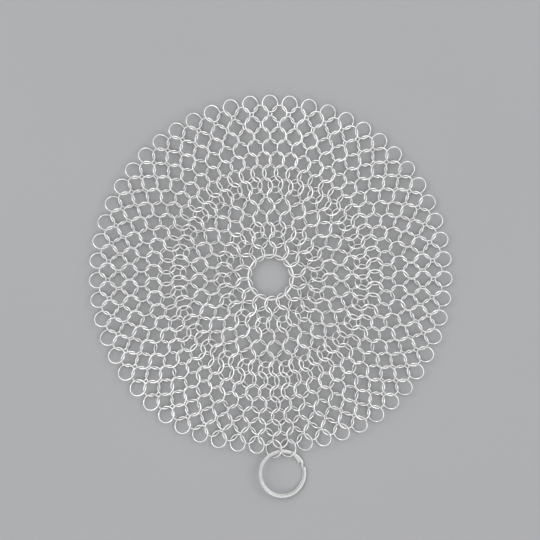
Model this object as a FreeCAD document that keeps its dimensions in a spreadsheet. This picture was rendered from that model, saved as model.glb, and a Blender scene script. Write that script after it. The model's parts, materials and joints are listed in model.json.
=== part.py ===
import FreeCAD, Part
import math
import os

# Round chain-mail scrubber: leaning steel rings woven four-in-one in 14 rows around a centre ring,
# with a two-turn split ring hooked through two rings of the edge. Millimetres and degrees, +Z up,
# the mat lies on z = 0 about the origin and the split ring is toward -Y.

# Driving sizes
SIZES = (
    ("ring_mean_dia", 9.1),
    ("wire_dia", 0.9),
    ("wire_play", 0.15),
    ("lean_deg", 25.0),
    ("centre_mean_dia", 24.5),
    ("centre_wire_dia", 1.2),
    ("hub_play", 0.75),
    ("own_step", 1.0),
    ("gather_share", 0.30),
    ("gather_half_deg", 5.7),
    ("gather_play", 0.30),
    ("hanger_mean_dia", 9.7),
    ("hanger_lean_deg", 30.0),
    ("hanger_play", 0.25),
    ("split_mean_dia", 24.35),
    ("split_band", 1.45),
    ("split_step", 0.6),
    ("split_turn", 0.6),
    ("split_turn_gap", 0.15),
    ("split_edge_round", 0.15),
    ("split_roll_deg", 9.5),
    ("split_play", 0.4),
)

doc = FreeCAD.newDocument("chain_mail_scrubber")
sheet = doc.addObject("Spreadsheet::Sheet", "sizes")
for line, (name, value) in enumerate(SIZES, 1):
    sheet.set("A%d" % line, name)
    sheet.set("B%d" % line, str(value))
    sheet.setAlias("B%d" % line, name)
doc.recompute()
size = {name: float(sheet.get(name)) for name, value in SIZES}

TURN = 2 * math.pi
GORES = 14
ROWS = [GORES] * 2 + [2 * GORES] * 4 + [4 * GORES] * 8
R = size["ring_mean_dia"] / 2
WIRE = size["wire_dia"]
SAMPLES = [(math.cos(TURN * i / 96), math.sin(TURN * i / 96)) for i in range(96)]
# Step of the search for a ring's place, and the least gap and reach of the last test of the wires
SEARCH_STEP, LEAST_GAP, TEST_REACH = 0.08, 0.02, 0.3

# Lean of each row over the base lean: the doubling rows (3 and 7) stand steeper than the row inside
EXTRA_LEAN = [3, 1, 6, 3, 2, 1, 4] + [0] * 7
# Wire play of each row over the base play: the rows by the centre ring need more to bend
EXTRA_PLAY = [0, 0.2, 0.2, 0.05, 0.05, 0.05, 0.1] + [0] * 7
# Share of the gather at the split ring that each row takes
GATHER = [0] * 7 + [0.3, 0.6, 0.8, 0.95, 1, 1, 1]
# Angle from the split ring, in radians, over which the gathered rows' extra play fades
GATHER_FADE = 0.35


def ring_at(rho, angle, lean, lift=0.0):
    """Centre, axis and two in-plane directions of a ring leaning about its own radial line."""
    radial = (math.cos(angle), math.sin(angle), 0.0)
    along = (-math.sin(angle), math.cos(angle))
    c, s = math.cos(lean), math.sin(lean)
    return (
        (rho * radial[0], rho * radial[1], lift),
        (-s * along[0], -s * along[1], c),
        radial,
        (c * along[0], c * along[1], s),
    )


def apart(one, other, r_one, r_other):
    """Least distance between two rings' centre lines."""
    (c1, n1, u1, v1), (c2, n2, u2, v2) = one, other
    ox, oy, oz = c1[0] - c2[0], c1[1] - c2[1], c1[2] - c2[2]
    best = 1e9
    for c, s in SAMPLES:
        c, s = c * r_one, s * r_one
        dx = ox + c * u1[0] + s * v1[0]
        dy = oy + c * u1[1] + s * v1[1]
        dz = oz + c * u1[2] + s * v1[2]
        h = dx * n2[0] + dy * n2[1] + dz * n2[2]
        q = math.sqrt(max(dx * dx + dy * dy + dz * dz - h * h, 0.0))
        best = min(best, (q - r_other) ** 2 + h * h)
    return math.sqrt(best)


def gathered(u, share):
    """Angle from the split ring's direction, with the columns near it drawn together."""
    half = math.radians(size["gather_half_deg"])
    k = share * half * math.sqrt(math.pi) / 2
    return u * (1 + k / math.pi) - k * math.erf(u / half)


def outermost(links, angle, lean, radius, need):
    """The largest row radius at which a ring still links its inner rings with the wires clear."""
    reach = radius + R - need

    def fits(rho):
        x, y = rho * math.cos(angle), rho * math.sin(angle)
        if max(math.hypot(x - b[0][0], y - b[0][1]) for b in links) > reach:
            return False
        made = ring_at(rho, angle, lean)
        return min(apart(made, b, radius, R) for b in links) >= need

    inner = max(math.hypot(b[0][0], b[0][1]) for b in links)
    rho = inner + reach
    while not fits(rho):
        rho -= SEARCH_STEP
        if rho < inner:
            return None
    low, high = rho, rho + SEARCH_STEP
    for _ in range(5):
        mid = (low + high) / 2
        low, high = (mid, high) if fits(mid) else (low, mid)
    return low


def between(a, b):
    """Angle between two directions, in either sense."""
    gap = abs(a - b) % TURN
    return min(gap, TURN - gap)


def weave(more_lean, play):
    """Rows of (angle from -Y before the gather, row radius, ring), or None if a ring has no place."""
    hub = (size["centre_mean_dia"] + size["ring_mean_dia"]) / 2
    hub -= (size["centre_wire_dia"] + WIRE) / 2 + size["hub_play"]
    rows = []
    for k, count in enumerate(ROWS):
        lean = math.radians(size["lean_deg"] + EXTRA_LEAN[k] + more_lean) * (1 if k % 2 else -1)
        share = size["gather_share"] * GATHER[k]
        made = [None] * count
        turns = [(i + (0.5 if k % 2 else 0.0)) / count for i in range(count)]
        turns = [TURN * (t if t <= 0.5 + 1e-9 else t - 1) for t in turns]
        for i, u in enumerate(turns):
            angle = gathered(u, share) - TURN / 4
            if k == 0:
                made[i] = (u, hub, ring_at(hub, angle, lean))
                continue
            links = [p[2] for p in rows[-1] if between(p[0], u) < TURN / ROWS[k - 1] / 2 + 1e-6]
            if len(links) == 1:
                continue
            need = WIRE + play + EXTRA_PLAY[k]
            if GATHER[k]:
                need += size["gather_play"] * math.exp(-((u / GATHER_FADE) ** 2))
            rho = outermost(links, angle, lean, R, need)
            if rho is None:
                return None
            made[i] = (u, rho, ring_at(rho, angle, lean))
        # In a doubling row every second ring has one inner ring of its own
        for i, u in enumerate(turns):
            if made[i] is None:
                rho = (made[i - 1][1] + made[(i + 1) % count][1]) / 2 + size["own_step"]
                made[i] = (u, rho, ring_at(rho, gathered(u, share) - TURN / 4, lean))
        rows.append(made)
    return rows


# The weave, steeper or tighter only if other sizes leave no place for a ring
rows = None
for play, more_lean in [(p, m) for p in (1.0, 0.6, 0.3) for m in (0, 2, 4, 6, 8)]:
    rows = rows or weave(more_lean, play * size["wire_play"])
if rows is None:
    raise RuntimeError("the rings don't fit each other at these sizes")
row_lean = [math.asin(abs(row[0][2][3][2])) for row in rows]

# The two edge rings that carry the split ring lean more and are a little larger
hanger_r = size["hanger_mean_dia"] / 2
hanger_lean = max(math.radians(size["hanger_lean_deg"]), row_lean[-1])
hangers = []
for i, (u, rho, made) in enumerate(rows[-1]):
    if abs(u) < TURN / ROWS[-1]:
        links = [p[2] for p in rows[-2] if between(p[0], u) < TURN / ROWS[-2] / 2 + 1e-6]
        angle = math.atan2(made[0][1], made[0][0])
        rho = outermost(links, angle, hanger_lean, hanger_r, WIRE + size["hanger_play"]) or rho
        hangers.append(ring_at(rho, angle, hanger_lean))
rows[-1] = [p for p in rows[-1] if abs(p[0]) >= TURN / ROWS[-1]]

# Height of every ring's centre, so that the lowest wire lies on the floor
lift = max([R * math.sin(a) for a in row_lean] + [hanger_r * math.sin(hanger_lean)]) + WIRE / 2


def place(made):
    """Placement of a ring in the mat."""
    centre, axis, u, v = made
    turn = FreeCAD.Rotation(FreeCAD.Vector(*u), FreeCAD.Vector(*v), FreeCAD.Vector(*axis), "ZXY")
    return FreeCAD.Placement(FreeCAD.Vector(centre[0], centre[1], centre[2] + lift), turn)


def ring_solid(name, made, mean_dia, wire_dia):
    """One ring of round wire."""
    solid = doc.addObject("Part::Torus", name)
    solid.setExpression("Radius1", "sizes.%s / 2" % mean_dia)
    solid.setExpression("Radius2", "sizes.%s / 2" % wire_dia)
    solid.Placement = place(made)
    return solid


def group(label, solids):
    """One node of separate rings."""
    made = doc.addObject("Part::Compound", label)
    made.Links = solids
    made.Label = label
    return made


nodes = []

# Centre ring
flat = ring_at(0.0, 0.0, 0.0)
centre = ring_solid("centre_ring", flat, "centre_mean_dia", "centre_wire_dia")
centre.Label = "centre_ring"
nodes.append(centre)

# Gores of the mat, one for each ring on the centre ring, numbered from -Y toward +X
BANDS = (
    ("inner_rings", (1, 2, 3, 5, 6, 7)),
    ("outer_rings", (9, 10, 11)),
    ("edge_rings", (13, 14)),
    ("joining_rings", (4, 8, 12)),
)
for gore in range(GORES):
    for band, members in BANDS:
        solids = []
        for row in members:
            for u, rho, made in rows[row - 1]:
                if round(u * GORES / TURN - 1e-9) % GORES == gore:
                    name = "ring_%02d_%02d_%d" % (gore + 1, row, len(solids))
                    solids.append(ring_solid(name, made, "ring_mean_dia", "wire_dia"))
        nodes.append(group("gore_%02d_%s" % (gore + 1, band), solids))

# Hanger rings
pair = [
    ring_solid("hanger_%d" % i, made, "hanger_mean_dia", "wire_dia") for i, made in enumerate(hangers)
]
nodes.append(group("hanger_rings", pair))

# Split ring: a flat turn, a ramp up by one turn and out by one step, and a second flat turn.
# Each cut end stands a little way round from the ramp.
split_r = size["split_mean_dia"] / 2
half_band = size["split_band"] / 2
pitch = size["split_turn"] + size["split_turn_gap"]
RAMP_FROM, RAMP, END_GAP = 14.0, 12.5, 2.0
TURN_ARC = 360.0 - RAMP - END_GAP


def band_wire(angle, rise):
    """The rounded section of the band at an angle, from 0 on the lower turn to 1 on the upper."""
    level, mid_r = pitch * (rise - 0.5), split_r + size["split_step"] * (rise - 0.5)
    b, t = half_band, size["split_turn"] / 2
    e = min(size["split_edge_round"], 0.45 * min(b, t))
    k = e * (1 - math.sqrt(0.5))
    corners = ((b, t, 1, 1), (-b, t, -1, 1), (-b, -t, -1, -1), (b, -t, 1, -1))
    edges, last = [], None

    def at(x, z):
        a = math.radians(angle)
        return FreeCAD.Vector((mid_r + x) * math.cos(a), (mid_r + x) * math.sin(a), level + z)

    for n, (x, z, sx, sz) in enumerate(corners):
        one, two = (x, z - sz * e), (x - sx * e, z)
        if n % 2:
            one, two = two, one
        if last:
            edges.append(Part.makeLine(at(*last), at(*one)))
        edges.append(Part.Arc(at(*one), at(x - sx * k, z - sz * k), at(*two)).toShape())
        last, first = two, (one if n == 0 else first)
    edges.append(Part.makeLine(at(*last), at(*first)))
    return Part.Wire(edges)


def flat_turn(start, rise):
    """A flat turn of the band from a start angle."""
    face = Part.Face(band_wire(start, rise))
    return face.revolve(FreeCAD.Vector(0, 0, 0), FreeCAD.Vector(0, 0, 1), TURN_ARC)


def eased(t):
    """A smooth rise from 0 to 1."""
    return t * t * (3 - 2 * t)


steps = [i / 8 for i in range(9)]
ramp = Part.makeLoft([band_wire(RAMP_FROM + RAMP * t, eased(t)) for t in steps], True, False)
lower = flat_turn(RAMP_FROM - TURN_ARC, 0)
upper = flat_turn(RAMP_FROM + RAMP, 1)
coil = lower.fuse([ramp, upper])
split = doc.addObject("Part::Feature", "split_ring")
split.Label = "split_ring"
split.Shape = coil.Solids[0] if len(coil.Solids) == 1 else coil
row_13 = min(p[2][0][1] for p in rows[-2])
inner_edge = row_13 - R - WIRE / 2 - size["split_play"]
split_y = inner_edge - half_band - split_r - size["split_step"] / 2
split.Placement = FreeCAD.Placement(
    FreeCAD.Vector(0, split_y, lift),
    FreeCAD.Rotation(FreeCAD.Vector(0, 1, 0), size["split_roll_deg"]),
)
nodes.append(split)

doc.recompute()

# Every object must be sound before it is written
for thing in doc.Objects:
    if "Invalid" in thing.State or "Error" in thing.State:
        raise RuntimeError("%s is %s" % (thing.Name, thing.State))
    if hasattr(thing, "Shape") and (thing.Shape.isNull() or not thing.Shape.isValid()):
        raise RuntimeError("%s has no valid shape" % thing.Name)
if len(split.Shape.Solids) != 1:
    raise RuntimeError("the split ring isn't one solid")

# Least wire gap at rest, over neighbouring rings
every = [(p[2], R) for row in rows for p in row] + [(made, hanger_r) for made in hangers]
least = 1e9
for i, (one, r_one) in enumerate(every):
    for other, r_other in every[:i]:
        dx, dy = one[0][0] - other[0][0], one[0][1] - other[0][1]
        if dx * dx + dy * dy < (r_one + r_other + WIRE + TEST_REACH) ** 2:
            least = min(least, apart(one, other, r_one, r_other) - WIRE)
if least < LEAST_GAP:
    raise RuntimeError("wires cut each other by %.3f" % -least)
hook_x = max(made[0][0] for made in hangers)
hook_y = split_y + math.sqrt(split_r**2 - hook_x**2)
hanger_y = sum(made[0][1] for made in hangers) / len(hangers)
across = 2 * (max(p[1] for p in rows[-1]) + R) + WIRE
print("rings %d, least wire gap %.3f, mat %.2f across" % (len(every), least, across))
print("row radii " + " ".join("%.2f" % (sum(p[1] for p in row) / len(row)) for row in rows))
print("lift %.4f, hanger x %.3f y %.3f, row 13 y %.3f" % (lift, hook_x, hanger_y, row_13))
print("split ring y %.4f, hook y %.4f" % (split_y, hook_y))

os.makedirs("parts", exist_ok=True)
for node in nodes:
    node.Shape.exportStep("parts/%s.step" % node.Label)
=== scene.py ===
import json
import math
import bpy
import numpy as np
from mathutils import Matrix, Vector


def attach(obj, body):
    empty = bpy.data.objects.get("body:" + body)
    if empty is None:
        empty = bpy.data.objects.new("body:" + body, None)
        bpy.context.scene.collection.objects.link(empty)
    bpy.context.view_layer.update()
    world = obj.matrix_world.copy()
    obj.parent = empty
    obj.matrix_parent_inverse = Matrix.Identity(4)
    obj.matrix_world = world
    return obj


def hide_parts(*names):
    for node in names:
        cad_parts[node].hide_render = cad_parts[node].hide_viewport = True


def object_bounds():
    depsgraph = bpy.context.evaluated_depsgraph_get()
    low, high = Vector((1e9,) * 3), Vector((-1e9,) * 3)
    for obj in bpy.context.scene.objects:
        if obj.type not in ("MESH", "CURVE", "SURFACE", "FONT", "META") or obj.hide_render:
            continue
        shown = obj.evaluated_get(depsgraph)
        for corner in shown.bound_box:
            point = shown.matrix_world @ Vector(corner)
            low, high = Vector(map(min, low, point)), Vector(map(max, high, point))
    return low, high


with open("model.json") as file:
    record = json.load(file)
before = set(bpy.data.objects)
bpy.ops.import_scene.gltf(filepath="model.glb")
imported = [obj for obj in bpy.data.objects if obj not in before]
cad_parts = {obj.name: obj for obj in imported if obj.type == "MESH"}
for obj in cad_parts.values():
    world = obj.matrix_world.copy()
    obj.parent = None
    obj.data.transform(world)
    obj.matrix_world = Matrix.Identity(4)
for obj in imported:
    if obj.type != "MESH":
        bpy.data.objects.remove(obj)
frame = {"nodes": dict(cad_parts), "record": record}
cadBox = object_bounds()
scene = bpy.context.scene
mm = 0.001


# Shader helpers: x and y only lay the nodes out, and an underscore stands for the space in a socket's name
def putNode(tree, kind, x, y, settings=None, **inputs):
    node = tree.nodes.new(kind)
    node.location = (x, y)
    for name, value in (settings or {}).items():
        setattr(node, name, value)
    for name, value in inputs.items():
        node.inputs[name.replace("_", " ")].default_value = value
    return node


def joinUp(tree, *pairs):
    for source, target in pairs:
        tree.links.new(source, target)


def newGroup(name, inputs, outputs):
    tree = bpy.data.node_groups.new(name, "ShaderNodeTree")
    for label, value in inputs:
        kind = "NodeSocketColor" if isinstance(value, tuple) else "NodeSocketFloat"
        socket = tree.interface.new_socket(label, in_out="INPUT", socket_type=kind)
        socket.default_value = value
    for label, kind in outputs:
        tree.interface.new_socket(label, in_out="OUTPUT", socket_type=kind)
    return tree, putNode(tree, "NodeGroupInput", -1100, 0), putNode(tree, "NodeGroupOutput", 500, 0)


def mathNode(tree, operation, x, y, *values):
    # each value is a number or another node's output
    node = putNode(tree, "ShaderNodeMath", x, y, {"operation": operation})
    for socket, value in zip(node.inputs, values):
        if isinstance(value, (int, float)):
            socket.default_value = value
        else:
            tree.links.new(value, socket)
    return node.outputs[0]


def colourMix(tree, x, y, **inputs):
    return putNode(tree, "ShaderNodeMix", x, y, {"data_type": "RGBA"}, **inputs)


# Fine lines that the drawing die leaves along a wire: wireMap holds millimetres along and around it
def makeDrawnLines():
    tree, given, out = newGroup(
        "drawnLines",
        [("Across", 9.0), ("Along", 0.12)],
        [("Height", "NodeSocketFloat"), ("Fine", "NodeSocketFloat")],
    )
    seedSpread = 71.0  # takes each ring's lines from another part of the noise
    uv = putNode(tree, "ShaderNodeUVMap", -1100, 300, {"uv_map": "wireMap"})
    seed = putNode(tree, "ShaderNodeAttribute", -1100, 150, {"attribute_name": "ringSeed"})
    split = putNode(tree, "ShaderNodeSeparateXYZ", -900, 300)
    place = putNode(tree, "ShaderNodeCombineXYZ", -500, 300)
    joinUp(tree, (uv.outputs["UV"], split.inputs[0]))
    along = mathNode(tree, "MULTIPLY", -700, 380, split.outputs["X"], given.outputs["Along"])
    across = mathNode(tree, "MULTIPLY", -700, 220, split.outputs["Y"], given.outputs["Across"])
    apart = mathNode(tree, "MULTIPLY", -700, 60, seed.outputs["Fac"], seedSpread)
    joinUp(tree, (along, place.inputs["X"]), (across, place.inputs["Y"]), (apart, place.inputs["Z"]))
    lines = putNode(tree, "ShaderNodeTexNoise", -250, 300, Scale=1.0, Detail=3.0, Roughness=0.6)
    joinUp(tree, (place.outputs[0], lines.inputs["Vector"]), (lines.outputs["Fac"], out.inputs["Height"]))
    fine = putNode(tree, "ShaderNodeMapRange", 100, 100, From_Min=0.35, From_Max=0.7)
    joinUp(tree, (lines.outputs["Fac"], fine.inputs["Value"]), (fine.outputs[0], out.inputs["Fine"]))
    return tree


# Thin dried-water film in patches, and fine specks, in metres of the piece itself
def makeKitchenFilm():
    tree, given, out = newGroup(
        "kitchenFilm",
        [("Patches", 85.0), ("Specks", 900.0)],
        [("Film", "NodeSocketFloat"), ("Speck", "NodeSocketFloat")],
    )
    place = putNode(tree, "ShaderNodeTexCoord", -1100, 300)
    patches = putNode(tree, "ShaderNodeTexNoise", -700, 300, Detail=4.0, Roughness=0.55, Distortion=0.4)
    specks = putNode(tree, "ShaderNodeTexNoise", -700, -50, Detail=2.0, Roughness=0.5)
    for noise, label in ((patches, "Patches"), (specks, "Specks")):
        joinUp(tree, (place.outputs["Object"], noise.inputs["Vector"]))
        joinUp(tree, (given.outputs[label], noise.inputs["Scale"]))
    film = putNode(tree, "ShaderNodeMapRange", -350, 300, From_Min=0.42, From_Max=0.68)
    speck = putNode(tree, "ShaderNodeMapRange", -350, -50, From_Min=0.62, From_Max=0.72)
    joinUp(tree, (patches.outputs["Fac"], film.inputs["Value"]), (film.outputs[0], out.inputs["Film"]))
    joinUp(tree, (specks.outputs["Fac"], speck.inputs["Value"]), (speck.outputs[0], out.inputs["Speck"]))
    return tree


# Heat tint beside a weld, which the steel has, and painted shade between the split ring's turns: one tint
# at its rim and another at its core
def makeHeatTintAndShade():
    tree, given, out = newGroup(
        "heatTintAndShade",
        [("Rim", (0.6, 0.6, 0.6, 1.0)), ("Core", (0.4, 0.4, 0.4, 1.0))],
        [("Tint", "NodeSocketColor"), ("HeatAndShade", "NodeSocketFloat")],
    )
    faintest, spread = 0.2, 0.4  # the least strength of the heat tint and painted shade, and how much the rings differ in it
    mark = putNode(tree, "ShaderNodeAttribute", -900, 200, {"attribute_name": "heatAndShadeMark"})
    seed = putNode(tree, "ShaderNodeAttribute", -900, 0, {"attribute_name": "ringSeed"})
    core = putNode(tree, "ShaderNodeMapRange", -600, 200, From_Min=0.55, From_Max=0.95)
    tint = colourMix(tree, -300, 200)
    joinUp(tree, (mark.outputs["Fac"], core.inputs["Value"]), (core.outputs[0], tint.inputs["Factor"]))
    joinUp(tree, (given.outputs["Rim"], tint.inputs["A"]), (given.outputs["Core"], tint.inputs["B"]))
    strength = mathNode(tree, "MULTIPLY_ADD", -600, 0, seed.outputs["Fac"], spread, faintest)
    heatAndShade = mathNode(tree, "MULTIPLY", -300, 0, mark.outputs["Fac"], strength)
    joinUp(tree, (tint.outputs["Result"], out.inputs["Tint"]), (heatAndShade, out.inputs["HeatAndShade"]))
    return tree


drawnLines, kitchenFilm, heatTintAndShade = makeDrawnLines(), makeKitchenFilm(), makeHeatTintAndShade()
print("shader groups made")


# One steel for every finish: tone by ring, film, heat tint and painted shade, and drawn lines, each with
# the finish's own values
def makeSteel(name, finish):
    material = bpy.data.materials.new(name)
    material.use_nodes = True
    tree = material.node_tree
    tree.nodes.clear()
    out = putNode(tree, "ShaderNodeOutputMaterial", 900, 0)
    metal = putNode(tree, "ShaderNodeBsdfPrincipled", 600, 0, Metallic=1.0)
    lines = putNode(tree, "ShaderNodeGroup", -900, -300, {"node_tree": drawnLines}, **finish["lines"])
    film = putNode(tree, "ShaderNodeGroup", -900, 0, {"node_tree": kitchenFilm}, Patches=finish["patches"])
    heatAndShade = putNode(tree, "ShaderNodeGroup", -900, 300, {"node_tree": heatTintAndShade}, **finish["heatAndShade"])
    seed = putNode(tree, "ShaderNodeAttribute", -900, 500, {"attribute_name": "ringSeed"})
    # the ring's own tone, under the film, under the heat tint and painted shade
    tone = colourMix(tree, -500, 500, A=finish["bright"], B=finish["grey"])
    dull = colourMix(tree, -250, 400, B=finish["filmColour"])
    tinted = colourMix(tree, 0, 300)
    filmShare = mathNode(tree, "MULTIPLY", -500, 250, film.outputs["Film"], finish["filmShare"])
    joinUp(tree, (seed.outputs["Fac"], tone.inputs["Factor"]), (tone.outputs["Result"], dull.inputs["A"]))
    joinUp(tree, (filmShare, dull.inputs["Factor"]), (dull.outputs["Result"], tinted.inputs["A"]))
    joinUp(tree, (heatAndShade.outputs["HeatAndShade"], tinted.inputs["Factor"]))
    joinUp(tree, (heatAndShade.outputs["Tint"], tinted.inputs["B"]))
    joinUp(tree, (tinted.outputs["Result"], metal.inputs["Base Color"]))
    # each layer adds its roughness to that of the bare steel
    layers = [
        (film.outputs["Film"], finish["filmRough"]),
        (lines.outputs["Fine"], finish["lineRough"]),
        (film.outputs["Speck"], finish["speckRough"]),
        (heatAndShade.outputs["HeatAndShade"], finish["heatAndShadeRough"]),
    ]
    rough = finish["rough"]
    for column, (mask, added) in enumerate(layers):
        rough = mathNode(tree, "MULTIPLY_ADD", -300 + 200 * column, -50, mask, added, rough)
    joinUp(tree, (rough, metal.inputs["Roughness"]))
    depth = finish["bumpMm"] * mm
    bump = putNode(tree, "ShaderNodeBump", 300, -350, Strength=finish["bump"], Distance=depth)
    joinUp(tree, (lines.outputs["Height"], bump.inputs["Height"]))
    joinUp(tree, (bump.outputs[0], metal.inputs["Normal"]), (metal.outputs[0], out.inputs["Surface"]))
    return material


weldGrid = 0.002 * mm  # points of a CAD mesh that share a cell of this size are one


def nodePoints(node):
    mesh = frame["nodes"][node].data
    points = np.empty(len(mesh.vertices) * 3)
    mesh.vertices.foreach_get("co", points)
    return points.reshape(-1, 3)


def groupRings(node):
    # the rings of a CAD node: its loose islands, each with its centre, axes and sizes
    mesh = frame["nodes"][node].data
    cells, home = np.unique(np.round(nodePoints(node) / weldGrid).astype(int), axis=0, return_inverse=True)
    ends = np.empty(len(mesh.edges) * 2, dtype=int)
    mesh.edges.foreach_get("vertices", ends)
    ends = home.ravel()[ends].reshape(-1, 2)
    island = np.arange(len(cells))
    while True:  # the least number spreads along the edges until each island has one
        least = np.minimum(island[ends[:, 0]], island[ends[:, 1]])
        spread = island.copy()
        np.minimum.at(spread, ends[:, 0], least)
        np.minimum.at(spread, ends[:, 1], least)
        spread = spread[spread]
        if (spread == island).all():
            break
        island = spread
    spots = cells * weldGrid
    return [fitRing(spots[island == root]) for root in np.unique(island)]


def fitRing(points):
    # its axes: outward from the middle of the mat, or +X for the ring there, then sideways, then up
    middle = points.mean(0)
    axis = np.linalg.svd(points - middle, full_matrices=False)[2][2]
    axis = axis if axis[2] > 0 else -axis
    outward = middle if np.hypot(*middle[:2]) > mm else np.array([1.0, 0.0, 0.0])
    outward = outward - axis * (outward @ axis)
    outward /= np.linalg.norm(outward)
    side = np.cross(axis, outward)
    flat = np.stack([(points - middle) @ outward, (points - middle) @ side], 1)
    shift = (flat.max(0) + flat.min(0)) / 2
    reach = np.linalg.norm(flat - shift, axis=1)
    return {
        "centre": middle + outward * shift[0] + side * shift[1],
        "axes": np.stack([outward, side, axis]),
        "mean": (reach.max() + reach.min()) / 2,
        "wire": (reach.max() - reach.min()) / 2,
    }


def gridFaces(rows, sides, closed, lengths, turns):
    # quads of a swept section, with their place along and around the wire in millimetres
    row, side = np.meshgrid(np.arange(rows if closed else rows - 1), np.arange(sides), indexing="ij")
    corners = [(row, side), (row + 1, side), (row + 1, side + 1), (row, side + 1)]
    faces = np.stack([r % rows * sides + s % sides for r, s in corners], 2).reshape(-1, 4)
    uv = np.stack([np.stack([lengths[r], turns[s]], 2) for r, s in corners], 2).reshape(-1, 2)
    return faces.tolist(), uv


def bell(away, length):
    return np.exp(-((away / (length * mm)) ** 2))


# A ring of round wire closed by a butt weld: a bead with a fine seam, and the two ends a hair out of line
def wireRing(ring, seed, look):
    bead = np.array(look["beadStations"]) * mm
    around = np.linspace(0, 2 * np.pi, look["sides"], endpoint=False)
    girth = 2 * np.pi * ring["mean"]
    plain = np.linspace(bead[-1], girth - bead[-1], look["stations"] + 1)[1:-1]
    along = np.concatenate([bead, plain, girth - bead[:0:-1]])
    away = np.minimum(along, girth - along)
    swell = 1 + look["bead"] * bell(away, look["beadLength"])
    swell -= look["seam"] * bell(away, look["seamLength"])
    turn = along / ring["mean"] + seed * 2 * np.pi
    offset = look["ledge"] * mm * (along / girth - 0.5)
    wire = ring["wire"] * swell[:, None]
    out = ring["mean"] + wire * np.cos(around)[None, :]
    up = wire * np.sin(around)[None, :] + offset[:, None]
    local = np.stack([out * np.cos(turn)[:, None], out * np.sin(turn)[:, None], up], 2)
    points = local.reshape(-1, 3) @ ring["axes"] + ring["centre"]
    heat = np.repeat(bell(away, look["heatLength"]), len(around))
    lengths = np.append(along, girth) / mm
    turns = np.linspace(0, 2 * np.pi, len(around) + 1) * ring["wire"] / mm
    faces, uv = gridFaces(len(along), len(around), True, lengths, turns)
    return points, faces, uv, heat, np.full(len(points), seed)


def addPiece(name, parts, material, body, nodes):
    # joins the parts' points, faces, wire map, marks of heat tint and painted shade, and seeds into one
    # piece on its body
    points, faces, uvs, heatAndShadeMarks, seeds = zip(*parts)
    starts = np.cumsum([0] + [len(group) for group in points[:-1]]).tolist()
    corners = []
    for group, start in zip(faces, starts):
        corners += [[corner + start for corner in face] for face in group]
    mesh = bpy.data.meshes.new(name)
    mesh.from_pydata(np.concatenate(points).tolist(), [], corners)
    mesh.polygons.foreach_set("use_smooth", [True] * len(mesh.polygons))
    wireMap = mesh.uv_layers.new(name="wireMap")
    wireMap.data.foreach_set("uv", np.concatenate(uvs).ravel().astype(np.float32))
    for label, values in (("heatAndShadeMark", heatAndShadeMarks), ("ringSeed", seeds)):
        layer = mesh.attributes.new(label, "FLOAT", "POINT")
        layer.data.foreach_set("value", np.concatenate(values).astype(np.float32))
    mesh.materials.append(material)
    mesh.update()
    piece = bpy.data.objects.new(name, mesh)
    scene.collection.objects.link(piece)
    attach(piece, body)
    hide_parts(*nodes)


# Small rings of the mat: lengths in millimetres, bead and seam as shares of the wire's radius
mailLook = {
    "sides": 12,  # points round the wire
    "stations": 34,  # steps along it, between the weld's own
    "beadStations": [0.0, 0.07, 0.16, 0.3, 0.5, 0.8, 1.2],  # from the seam
    "bead": 0.07,
    "beadLength": 0.55,
    "seam": 0.06,
    "seamLength": 0.11,
    "ledge": 0.05,  # how far the two ends stand out of line
    "heatLength": 0.9,
    "steel": {
        "bright": (0.93, 0.93, 0.925, 1.0),
        "grey": (0.85, 0.85, 0.845, 1.0),
        "filmColour": (0.76, 0.755, 0.74, 1.0),
        "filmShare": 0.35,
        "patches": 85.0,
        "rough": 0.15,
        "filmRough": 0.12,
        "lineRough": 0.06,
        "speckRough": 0.12,
        "heatAndShadeRough": 0.25,
        "heatAndShade": {"Rim": (0.70, 0.655, 0.60, 1.0), "Core": (0.50, 0.495, 0.49, 1.0)},
        "lines": {"Across": 9.0, "Along": 0.12},
        "bump": 0.35,
        "bumpMm": 0.02,
    },
}
mailSteel = makeSteel("mailSteel", mailLook["steel"])
golden = 0.6180339887  # steps of the rings' seeds, so that neighbours differ in tone and weld
ringCount = 0
for body, nodes in frame["record"]["behaviour"]["bodies"].items():
    for node in nodes:
        if node in ("centre_ring", "split_ring"):
            continue
        parts = []
        for ring in groupRings(node):
            ringCount += 1
            parts.append(wireRing(ring, ringCount * golden % 1.0, mailLook))
        addPiece("mail_" + node, parts, mailSteel, body, [node])
print("mail:", ringCount, "rings")


# Centre ring, of heavier wire
centreLook = dict(
    mailLook,
    sides=16,
    stations=84,
    heatLength=1.2,
    seed=0.13,
    steel=dict(
        mailLook["steel"],
        bright=(0.92, 0.92, 0.915, 1.0),
        grey=(0.86, 0.86, 0.85, 1.0),
        patches=110.0,
        rough=0.17,
        lines={"Across": 8.0, "Along": 0.10},
    ),
)
centreSteel = makeSteel("centreSteel", centreLook["steel"])
centreRing = groupRings("centre_ring")[0]
addPiece(
    "mail_centre_ring", [wireRing(centreRing, centreLook["seed"], centreLook)], centreSteel, "hub",
    ["centre_ring"],
)
print("centre ring: %.2f mm mean diameter" % (2 * centreRing["mean"] / mm))


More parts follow.
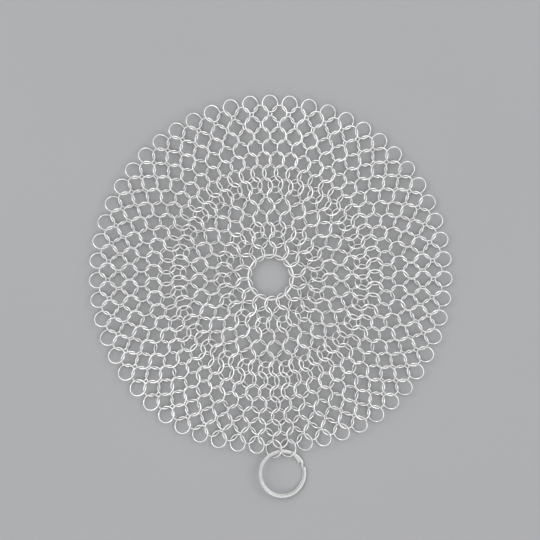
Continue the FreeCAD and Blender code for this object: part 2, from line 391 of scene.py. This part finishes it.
# Split ring: one flat band wound twice, with a joggle up and out from the lower turn to the upper
splitLook = {
    "band": 1.45,  # width, with every length here in millimetres
    "turn": 0.64,  # thickness of one turn
    "pitch": 0.75,  # from the lower turn up to the upper
    "step": 0.6,  # from the lower turn out to the upper
    "edge": 0.29,
    "cornerPoints": 5,
    "startDeg": -331.5,
    "endDeg": 372.0,
    "climbFrom": 14.0,
    "climbTo": 26.5,
    "stepDeg": 1.5,
    "springIn": 0.5,  # the lower end stands in a little
    "springDeg": 26.0,
    "endRound": 0.22,
    "endSteps": [0.0, 0.25, 0.6, 1.0],  # shares of the rounding at each cut end
    "paintedShadeStart": -0.24,  # where the painted shade between the turns starts, from the middle of the band
    "seed": 0.9,
    "clearShare": 0.35,  # of the width, each way from the middle, has no joggle
    "steel": {
        "bright": (0.82, 0.82, 0.815, 1.0),
        "grey": (0.78, 0.78, 0.775, 1.0),
        "filmColour": (0.66, 0.655, 0.64, 1.0),
        "filmShare": 0.45,
        "patches": 140.0,
        "rough": 0.19,
        "filmRough": 0.14,
        "lineRough": 0.12,
        "speckRough": 0.10,
        "heatAndShadeRough": 0.15,
        # painted shade between the turns: its rim and core tints darken the steel
        "heatAndShade": {"Rim": (0.62, 0.615, 0.61, 1.0), "Core": (0.40, 0.395, 0.39, 1.0)},
        "lines": {"Across": 12.0, "Along": 0.08},
        "bump": 0.8,
        "bumpMm": 0.02,
    },
}


def bandSection(look):
    # rounded rectangle, from the outer edge round over the top
    half, tall, edge = look["band"] / 2, look["turn"] / 2, look["edge"]
    corners = [(1, 1, 0), (-1, 1, 90), (-1, -1, 180), (1, -1, 270)]
    points = []
    for sideways, upward, first in corners:
        for bend in np.linspace(0, 90, look["cornerPoints"]):
            angle = math.radians(first + bend)
            x = sideways * (half - edge) + edge * math.cos(angle)
            points.append((x, upward * (tall - edge) + edge * math.sin(angle)))
        if upward > 0 and sideways > 0:
            # an extra point on the top face, where the painted shade starts
            points.append((look["paintedShadeStart"], tall))
    return np.array(points) * mm


def sectionSteps(section):
    # length round the section up to each of its points
    return np.append(0, np.cumsum(np.linalg.norm(np.roll(section, -1, 0) - section, axis=1)))


def easeInOut(share):
    share = np.clip(share, 0, 1)
    return share * share * (3 - 2 * share)


def splitBand(ring, look):
    section = bandSection(look)
    mean = ring["mean"] / mm
    start, end = look["startDeg"], look["endDeg"]
    roundDeg = math.degrees(look["endRound"] / mean)
    inward = roundDeg * np.array(look["endSteps"])
    plain = np.arange(start, end + look["stepDeg"] / 2, look["stepDeg"])[1:-1]
    angles = np.concatenate([start + inward, plain, end - inward[::-1]])
    # climb goes from -0.5 on the lower turn to 0.5 on the upper, and sprung from 1 at the lower end to 0
    climb = easeInOut((angles - look["climbFrom"]) / (look["climbTo"] - look["climbFrom"])) - 0.5
    sprung = easeInOut(1 - (angles - start) / look["springDeg"])
    radius = mean + look["step"] * climb - look["springIn"] * sprung
    level = look["pitch"] * climb
    ends = np.clip(np.minimum(angles - start, end - angles) / roundDeg, 0, 1)
    shrink = 1 - (look["endRound"] / look["band"]) * (1 - np.sqrt(1 - (1 - ends) ** 2))
    turn = np.radians(angles)[:, None]
    out = radius[:, None] * mm + shrink[:, None] * section[None, :, 0]
    up = level[:, None] * mm + shrink[:, None] * section[None, :, 1]
    local = np.stack([out * np.cos(turn), out * np.sin(turn), up], 2)
    points = local.reshape(-1, 3) @ ring["axes"] + ring["centre"]
    rows, sides = len(angles), len(section)
    faces, uv = gridFaces(rows, sides, False, np.radians(angles) * mean, sectionSteps(section) / mm)
    caps = np.array([range(sides)[::-1], range((rows - 1) * sides, rows * sides)])
    capMap = np.concatenate([section[::-1], section]) / mm
    # painted shade on the top of the lower turn beside the upper turn's edge, where shade falls between
    # the turns; none on the upper turn, fading out at the sprung lower end
    paintedShadePoints = (section[:, 1] > 0) & (section[:, 0] >= look["paintedShadeStart"] * mm)
    paintedShade = ((0.5 - climb) * (1 - sprung))[:, None] * paintedShadePoints[None, :]
    seeds = np.full(len(points), look["seed"])
    return points, faces + caps.tolist(), np.concatenate([uv, capMap]), paintedShade.ravel(), seeds


def fitSplit(look):
    # the plane is fitted to the points clear of the joggle, which lie alike on both sides
    points = nodePoints("split_ring")
    low, high = points.min(0), points.max(0)
    both = points[np.abs(points[:, 0] - (low[0] + high[0]) / 2) < look["clearShare"] * (high[0] - low[0])]
    axis = np.linalg.svd(both - both.mean(0), full_matrices=False)[2][2] * (1, 0, 1)
    axis /= np.linalg.norm(axis) * np.sign(axis[2])
    axes = np.stack([np.cross([0, 1, 0], axis), [0, 1, 0], axis])
    local = points @ axes.T
    return {
        "centre": (local.max(0) + local.min(0)) / 2 @ axes,
        "axes": axes,
        "mean": (high[1] - low[1] - (look["band"] + look["step"]) * mm) / 2,
    }


splitSteel = makeSteel("splitSteel", splitLook["steel"])
splitFrame = fitSplit(splitLook)
addPiece(
    "hanging_split_ring", [splitBand(splitFrame, splitLook)], splitSteel, "split_ring", ["split_ring"],
)
print("split ring: %.2f mm mean diameter" % (2 * splitFrame["mean"] / mm))


# Pale floor under the mat
floorLook = {
    "size": 14.0,
    "colour": (0.395, 0.40, 0.41, 1.0),
    "mottle": (0.415, 0.42, 0.43, 1.0),
    "mottleScale": 6.0,
    "rough": 0.85,
    "gloss": 0.2,
}


def makeFloor(look):
    bpy.ops.mesh.primitive_plane_add(size=look["size"])
    floor = bpy.context.object
    floor.name = "floor"
    material = bpy.data.materials.new("paleFloor")
    material.use_nodes = True
    tree = material.node_tree
    paint = tree.nodes["Principled BSDF"]
    paint.inputs["Roughness"].default_value = look["rough"]
    paint.inputs["Specular IOR Level"].default_value = look["gloss"]
    place = putNode(tree, "ShaderNodeTexCoord", -800, 0)
    noise = putNode(tree, "ShaderNodeTexNoise", -600, 0, Scale=look["mottleScale"], Detail=3.0)
    tone = colourMix(tree, -300, 0, A=look["colour"], B=look["mottle"])
    joinUp(tree, (place.outputs["Object"], noise.inputs["Vector"]))
    joinUp(tree, (noise.outputs["Fac"], tone.inputs["Factor"]))
    joinUp(tree, (tone.outputs["Result"], paint.inputs["Base Color"]))
    floor.data.materials.append(material)


makeFloor(floorLook)

# Soft studio light: boxes to the sides, and a pale room that dims toward the floor line and the zenith
lightLook = {
    "boxes": [  # name, place, width and watts
        ("leftBox", (-0.75, 0.45, 1.00), 0.55, 2.2),
        ("rightBox", (0.80, 0.20, 1.00), 0.55, 1.6),
        ("frontBox", (0.10, -0.85, 1.00), 0.55, 1.0),
    ],
    "room": [  # height on the room's sphere, and its grey there
        (0.00, 0.10), (0.14, 0.16), (0.42, 0.98), (0.84, 0.98), (1.00, 0.52),
    ],
}


def makeLights(look):
    for name, place, width, watts in look["boxes"]:
        lamp = bpy.data.lights.new(name, "AREA")
        lamp.size = width
        lamp.energy = watts
        holder = bpy.data.objects.new(name, lamp)
        holder.location = place
        holder.rotation_euler = (-Vector(place)).to_track_quat("-Z", "Y").to_euler()
        scene.collection.objects.link(holder)
    world = bpy.data.worlds.new("studioRoom")
    world.use_nodes = True
    tree = world.node_tree
    place = putNode(tree, "ShaderNodeTexCoord", -900, 0)
    height = putNode(tree, "ShaderNodeSeparateXYZ", -700, 0)
    tone = putNode(tree, "ShaderNodeValToRGB", -400, 0)
    stops = tone.color_ramp.elements
    while len(stops) < len(look["room"]):
        stops.new(0.5)  # moved to its height below
    for stop, (level, grey) in zip(stops, look["room"]):
        stop.position = level
        stop.color = (grey, grey, grey, 1.0)
    joinUp(tree, (place.outputs["Generated"], height.inputs[0]), (height.outputs["Z"], tone.inputs["Fac"]))
    joinUp(tree, (tone.outputs["Color"], tree.nodes["Background"].inputs["Color"]))
    scene.world = world


makeLights(lightLook)

# Camera straight above, turned so that the split ring hangs a little right of straight down
cameraLook = {
    "frame": 540.0,  # pixels across the square picture
    "mat": 364.0,  # pixels across the mat
    "centre": (270.6, 277.2),  # pixels, from the top left
    "turnDeg": -3.44,
    "height": 0.9,  # metres above the middle of the mat
    "sensor": 36.0,  # millimetres
    "clipStart": 0.01,
}


def makeCamera(look):
    low, high = (np.array(c) for c in cadBox)
    pixel = (high[0] - low[0]) / look["mat"]
    turn = math.radians(look["turnDeg"])
    right = Vector((math.cos(turn), math.sin(turn), 0))
    up = Vector((-math.sin(turn), math.cos(turn), 0))
    half = look["frame"] / 2
    data = bpy.data.cameras.new("overhead")
    data.sensor_width = look["sensor"]
    data.lens = look["sensor"] * look["height"] / (look["frame"] * pixel)
    data.clip_start = look["clipStart"]
    camera = bpy.data.objects.new("overhead", data)
    camera.location = right * (half - look["centre"][0]) * pixel + up * (look["centre"][1] - half) * pixel
    camera.location.z = look["height"] + (low[2] + high[2]) / 2
    camera.rotation_euler = (0, 0, turn)
    scene.collection.objects.link(camera)
    scene.camera = camera


makeCamera(cameraLook)
scene.view_settings.view_transform = "Standard"
print("stage, light and camera set")
